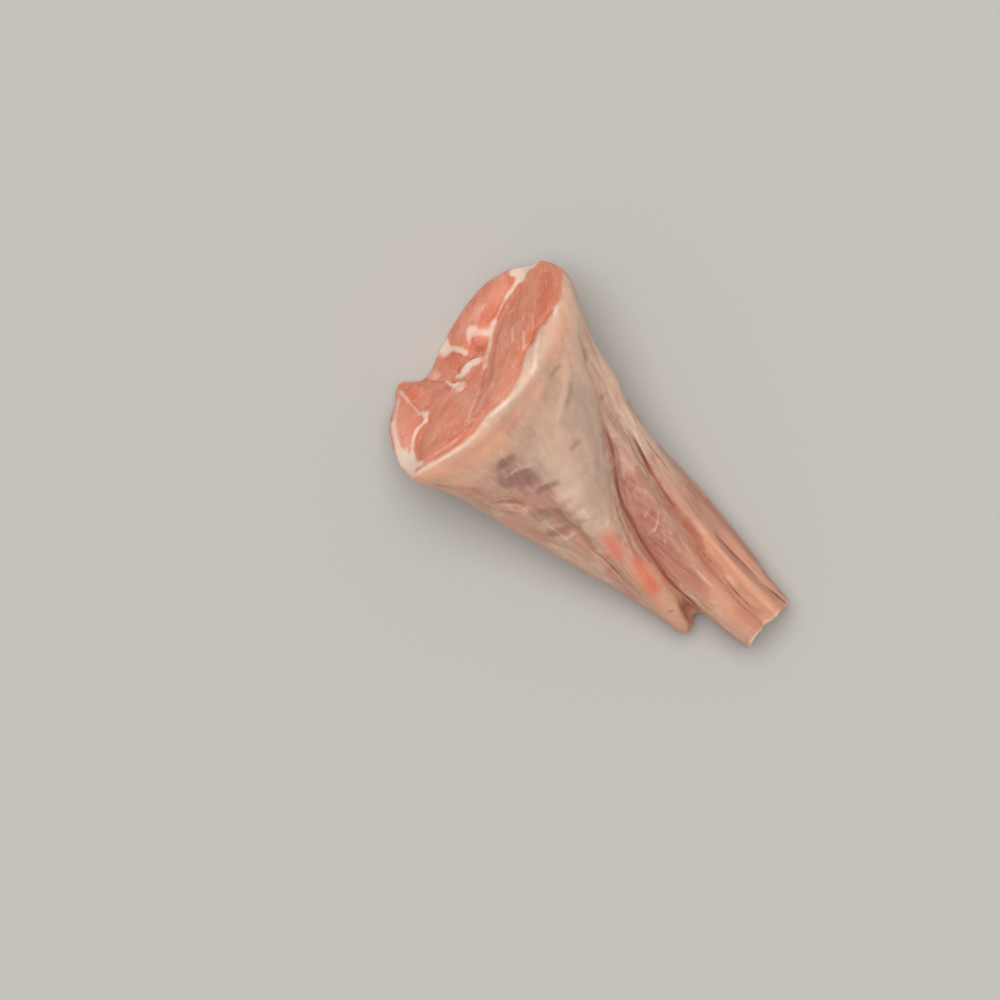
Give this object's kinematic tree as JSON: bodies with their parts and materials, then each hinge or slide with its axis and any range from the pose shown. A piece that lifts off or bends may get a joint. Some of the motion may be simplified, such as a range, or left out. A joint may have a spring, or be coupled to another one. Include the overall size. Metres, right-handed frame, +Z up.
{
  "type": "raw lamb shank",
  "caption": "Raw lamb shank lying on its side: oblique cut face of muscle, pale fat sheath that narrows to tendon straps and a loose flap.",
  "frame": {"origin": "below the middle of the shank's bounding box, on the table it lies on", "axes": "+X runs along the shank, from the oblique cut face to the thin tendon end; +Z is up; +Y goes across it, away from the loose flap"},
  "size_m": [0.1698, 0.0978, 0.0689],
  "materials": {
    "raw_meat": "wet"
  },
  "bodies": {
    "root": {"shank": "raw_meat"}
  },
  "joints": []
}
